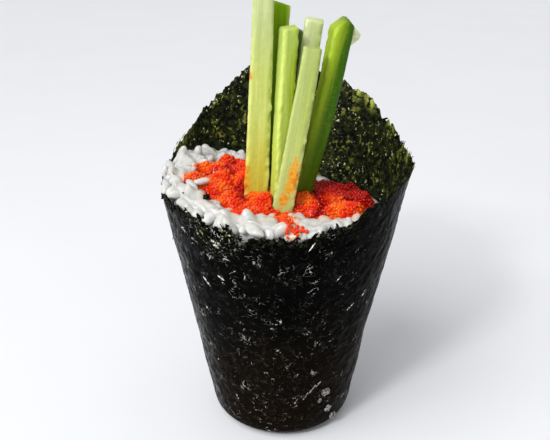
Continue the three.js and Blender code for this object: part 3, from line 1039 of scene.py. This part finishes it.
def make_stick(number, material):
    """A stick with rough flesh, ragged edges and, for some, an uneven cut top."""
    node = f"cucumber_stick_{number}"
    points, normals, faces = fine_mesh(node)
    centre, sideways, depth, up = stick_axes(node)
    local = (points - centre) @ np.array([sideways, depth, up]).T
    stretched = local * (1, 1, 0.22)
    half = np.abs(local[:, :2]).max(0)
    across = local[:, :2] / half
    edge = smoothstep(np.abs(across).min(1), 0.62, 0.95)
    rough = 0.2 * noise_at(stretched, 2.0, 40) + 0.06 * noise_at(local, 0.9, 41)
    rough += 0.75 * edge * noise_at(local * (1, 1, 0.7), 1.4, 42)
    points = points + normals * rough[:, None]
    if number in TOP_LIFTS:
        at, lift = np.array(TOP_LIFTS[number]).T
        near_top = smoothstep(local[:, 2], local[:, 2].max() - 7, local[:, 2].max() - 2)
        points = points + up * (near_top * np.interp(across[:, 0], at, lift))[:, None]
    values = {"stick": np.column_stack([across, points[:, 2] - ROE_LEVEL]), "edge": edge}
    name = f"cucumber_flesh_{number}"
    add_piece(name, points, faces, [material], [node], values=values)


# Colours at the left and right of a stick's front, where one turns into the other (-1 to 1) and
# how softly, and the colours of the foot and the tip. Each stain of roe juice is a ragged ellipse:
# its centre across the front and its height over the roe, then its half sizes.
STICKS = {
    # Stick 1: its darker right is painted shadow between it and the next stick.
    1: dict(left=(0.56, 0.6, 0.17), right=(0.43, 0.52, 0.1), edge=0.6, soft=0.4,
            foot=(0.59, 0.49, 0.035), tip=(0.52, 0.59, 0.3),
            stains=[(-0.95, 4, 0.5, 5), (-0.8, 32, 0.16, 1.6)]),
    # Stick 2: its darker foot is painted shade between sticks 1 and 3.
    2: dict(left=(0.2, 0.36, 0.001), right=(0.5, 0.62, 0.12), edge=0.75, soft=0.2,
            foot=(0.1, 0.2, 0.005)),
    # Stick 3: its darker right face is partly the flesh's olive, partly painted shade on the face turned
    # from the light.
    3: dict(left=(0.54, 0.64, 0.14), right=(0.42, 0.53, 0.035), edge=0.05, soft=0.14,
            foot=(0.49, 0.54, 0.07), tip=(0.52, 0.64, 0.17)),
    4: dict(left=(0.07, 0.12, 0.01), right=(0.1, 0.16, 0.02), edge=0.0, soft=0.5,
            foot=(0.1, 0.16, 0.02), tip=(0.1, 0.16, 0.02)),
    5: dict(left=(0.7, 0.73, 0.43), right=(0.39, 0.5, 0.096), edge=0.15, soft=0.5,
            foot=(0.43, 0.5, 0.1), tip=(0.61, 0.65, 0.35)),
    6: dict(left=(0.44, 0.5, 0.17), right=(0.36, 0.43, 0.09), edge=0.2, soft=0.8,
            foot=(0.5, 0.52, 0.16), tip=(0.43, 0.5, 0.18),
            stains=[(0.42, 6.4, 0.66, 6.2), (-0.1, 1.2, 0.5, 3.0)]),
    7: dict(left=(0.34, 0.46, 0.02), right=(0.035, 0.11, 0.0), edge=-0.35, soft=0.42,
            foot=(0.08, 0.17, 0.001)),
}
PALE = dict(left=(0.66, 0.72, 0.42), right=(0.6, 0.68, 0.36), edge=0.0, soft=0.5,
            foot=(0.6, 0.68, 0.36), tip=(0.66, 0.72, 0.42))


def stain_mask(paint, across, up, blot):
    """0.95 in a ragged ellipse on a stick's front, and 0 round it."""
    centre_across, centre_up, half_across, half_up = blot
    x = paint.math("DIVIDE", paint.math("SUBTRACT", across, centre_across), half_across)
    y = paint.math("DIVIDE", paint.math("SUBTRACT", up, centre_up), half_up)
    square = paint.math("ADD", paint.times(x, x), paint.times(y, y))
    ragged = paint.math("ADD", square, paint.times(paint.noise(2.0, detail=4, roughness=0.65), 3.0))
    return paint.between(ragged, 1.8, 2.5, 0.95, 0.0)


def make_flap(node, material):
    """A thin sliver of flesh that stands off a stick's right edge, near its top."""
    centre, *axes = stick_axes(node)
    right, _, top = ((node_points(node) - centre) @ np.array(axes).T).max(0)
    along = np.linspace(0, 1, FLAP_ROWS)[:, None]
    out = np.linspace(0, 1, FLAP_COLUMNS)
    x = right - 0.5 + (FLAP_WIDTH * np.sin(math.pi * along ** 1.6) ** 0.8 + 0.05) * out
    y = 0.5 + 0.5 * out ** 2
    z = top + FLAP_RISE - FLAP_LENGTH * (1 - along) - 0.6 * out
    flat = np.stack(np.broadcast_arrays(x, y, z), -1)
    flat = flat + 0.25 * noise_at(flat, 1.6, 43)[..., None]
    front = centre + flat @ np.array(axes)
    back = front + FLAP_THICKNESS * axes[1]
    points, faces, _ = closed_sheet(front, back, grid_faces(FLAP_ROWS, FLAP_COLUMNS))
    values = {"stick": np.tile([0.0, 0.0, 45.0], (len(points), 1)), "edge": np.ones(len(points))}
    add_piece("cucumber_flap", points, faces, [material], values=values)


def cucumber_paint(name, left, right, edge, soft, foot, tip=None, stains=()):
    paint = Paint(name, subsurface_weight=0.15, subsurface_scale=0.0015, specular_ior_level=0.1)
    paint.shade("Subsurface Radius", (0.8, 1.0, 0.35))
    stick = paint.attribute("stick", "Vector")
    parts = paint.add("SeparateXYZ", {"Vector": stick})
    across, up = parts.outputs["X"], parts.outputs["Z"]
    lengthwise = paint.vector("MULTIPLY", stick, (4 * MM, 4 * MM, 0.06 * MM))
    streaks = paint.noise(1.0, detail=4, roughness=0.6, vector=lengthwise)
    shifted = paint.math("ADD", across, paint.times(paint.math("SUBTRACT", streaks, 0.5), 0.9))
    colour = paint.mix(paint.between(shifted, edge - soft, edge + soft), left, right)
    colour = paint.mix(paint.between(up, 2.0, 26.0, 0.85, 0.0), colour, foot)
    if tip:
        colour = paint.mix(paint.between(up, 30.0, 50.0, 0.0, 0.8), colour, tip)
    furrows = paint.between(streaks, 0.62, 0.42, 0.0, 0.4)
    colour = paint.mix(furrows, colour, (0.62, 0.7, 0.45), "MULTIPLY")
    pale = tuple(min(1.0, 1.2 * c + 0.08) for c in left)
    grain = paint.noise(0.9, detail=5, roughness=0.8)
    colour = paint.mix(paint.between(grain, 0.45, 0.75, 0.0, min(0.25, 0.4 * left[0])), colour, pale)
    broken = paint.between(paint.noise(1.2), 0.35, 0.6, 0.2, 0.75)
    colour = paint.mix(paint.times(paint.attribute("edge"), broken), colour, pale)
    for blot in stains:
        orange = paint.mix(paint.between(paint.noise(0.8), 0.45, 0.65), *STAIN)
        colour = paint.mix(stain_mask(paint, across, up, blot), colour, orange)
    paint.shade("Base Color", colour)
    paint.shade("Roughness", paint.between(paint.noise(1.5), 0.3, 0.7, 0.28, 0.5))
    paint.shade("Normal", paint.bump(streaks, 0.22, 0.5, paint.bump(paint.noise(0.5), 0.08, 0.5)))
    return paint.material


# -------- stage, in metres

CAMERA_PITCH = 24.5  # degrees that the camera looks down
CAMERA_DISTANCE = 0.2187
CAMERA_SHARE = 0.49  # of the roll's height, where the camera aims
CAMERA_SIDE = -0.0024
SENSOR = 36.0
FOCAL_LENGTH = 47.85
FLOOR_REACH = 3.0


def make_camera():
    aim = Vector((CAMERA_SIDE, 0, CAMERA_SHARE * CAD_BOUNDS[1][2]))
    pitch = math.radians(CAMERA_PITCH)
    data = bpy.data.cameras.new("camera")
    data.sensor_width = SENSOR
    data.lens = FOCAL_LENGTH
    data.clip_start = 0.01
    camera = add_object("camera", data)
    camera.location = aim + CAMERA_DISTANCE * Vector((0, -math.cos(pitch), math.sin(pitch)))
    camera.rotation_euler = (math.pi / 2 - pitch, 0, 0)
    bpy.context.scene.camera = camera


def add_light(name, kind, power, place, target, **settings):
    """A light that faces from a place towards a target."""
    data = bpy.data.lights.new(name, kind)
    data.energy = power
    for key, value in settings.items():
        setattr(data, key, value)
    light = add_object(name, data)
    light.location = place
    light.rotation_euler = (Vector(target) - Vector(place)).to_track_quat("-Z", "Y").to_euler()


def make_stage():
    paint = Paint("floor", roughness=0.55)
    paint.shade("Base Color", paint.mix(paint.noise(60), (0.78, 0.79, 0.81), (0.82, 0.83, 0.85)))
    mesh = bpy.data.meshes.new("floor")
    signs = (-1, -1), (1, -1), (1, 1), (-1, 1)
    mesh.from_pydata([(x * FLOOR_REACH, y * FLOOR_REACH, 0) for x, y in signs], [], [(0, 1, 2, 3)])
    mesh.materials.append(paint.material)
    add_object("floor", mesh)
    world = bpy.data.worlds.new("soft_sky")
    world.use_nodes = True
    background = world.node_tree.nodes["Background"]
    background.inputs["Color"].default_value = (0.97, 0.98, 1.0, 1.0)
    background.inputs["Strength"].default_value = 0.6
    bpy.context.scene.world = world
    add_light("window", "SUN", 1.65, (-0.5, -0.42, 0.85), (0, 0, 0), angle=math.radians(45))
    add_light("spark", "AREA", 1.8, (-0.3, -0.42, 0.5), (0, 0, 0.06), size=0.1)
    bpy.context.scene.view_settings.view_transform = "Standard"


# -------- the roll

make_camera()
outside = nori_outside()
make_nori(outside, nori_inside())
make_glint_creases(glint_crease_paint())
make_pale_marks(pale_mark_paint())
roe_grid, roe_top, roe_crevice_shade = roe_field()
filling_top = make_rice(rice_paint(), roe_grid, roe_top)
make_crumbs(outside, filling_top)
roe = roe_paint()
make_roe_core(roe_grid, roe_top, roe_crevice_shade, roe)
make_roe_eggs(roe_grid, roe_top, roe_crevice_shade, filling_top, roe)
for number, look in STICKS.items():
    make_stick(number, cucumber_paint(f"cucumber_paint_{number}", **look))
make_flap("cucumber_stick_7", cucumber_paint("cucumber_paint_flap", **PALE))
make_stage()
